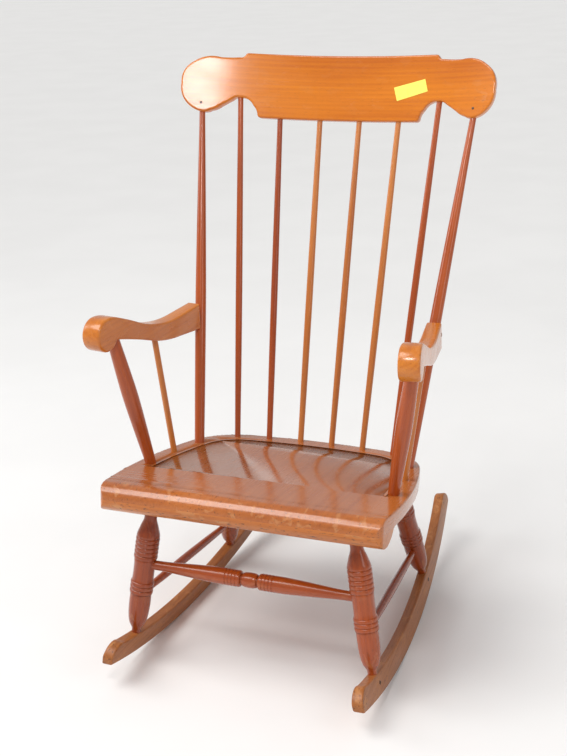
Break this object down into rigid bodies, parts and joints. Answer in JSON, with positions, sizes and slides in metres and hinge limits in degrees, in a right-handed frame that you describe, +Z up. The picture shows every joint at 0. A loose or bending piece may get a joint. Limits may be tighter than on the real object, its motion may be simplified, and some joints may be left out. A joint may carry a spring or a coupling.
{
  "type": "rocking chair",
  "caption": "Boston rocking chair of honey-stained wood with scrolled arms, a spindle back under a lobed crest rail, ringed legs and curved rockers.",
  "frame": {"origin": "on the floor, on the chair's plane of symmetry, at the middle of the rockers' length", "axes": "+Z up, -Y the way the sitter faces, +X the sitter's left hand seen from the front on the right"},
  "size_m": [0.623, 0.7554, 1.0392],
  "materials": {
    "seat_wood": "gloss",
    "crest_wood": "gloss",
    "arm_wood": "gloss",
    "turned_wood": "gloss",
    "pale_wood": "gloss",
    "leg_wood": "gloss",
    "rocker_wood": "satin",
    "pin_steel": "satin"
  },
  "bodies": {
    "root": {"arm_left": "arm_wood", "arm_post_left": "turned_wood", "arm_post_right": "turned_wood", "arm_right": "arm_wood", "arm_spindle_left": "pale_wood", "arm_spindle_right": "pale_wood", "back_post_left": "turned_wood", "back_post_right": "turned_wood", "back_spindle_1": "turned_wood", "back_spindle_2": "turned_wood", "back_spindle_3": "pale_wood", "back_spindle_4": "pale_wood", "back_spindle_5": "pale_wood", "back_spindle_6": "turned_wood", "crest_rail": "crest_wood", "front_leg_left": "leg_wood", "front_leg_right": "leg_wood", "front_stretcher": "leg_wood", "rear_leg_left": "leg_wood", "rear_leg_right": "leg_wood", "rear_stretcher": "leg_wood", "rocker_left": "rocker_wood", "rocker_right": "rocker_wood", "seat_front_roll": "seat_wood", "seat_plank": "seat_wood", "side_stretcher_left": "leg_wood", "side_stretcher_right": "leg_wood"}
  },
  "joints": []
}
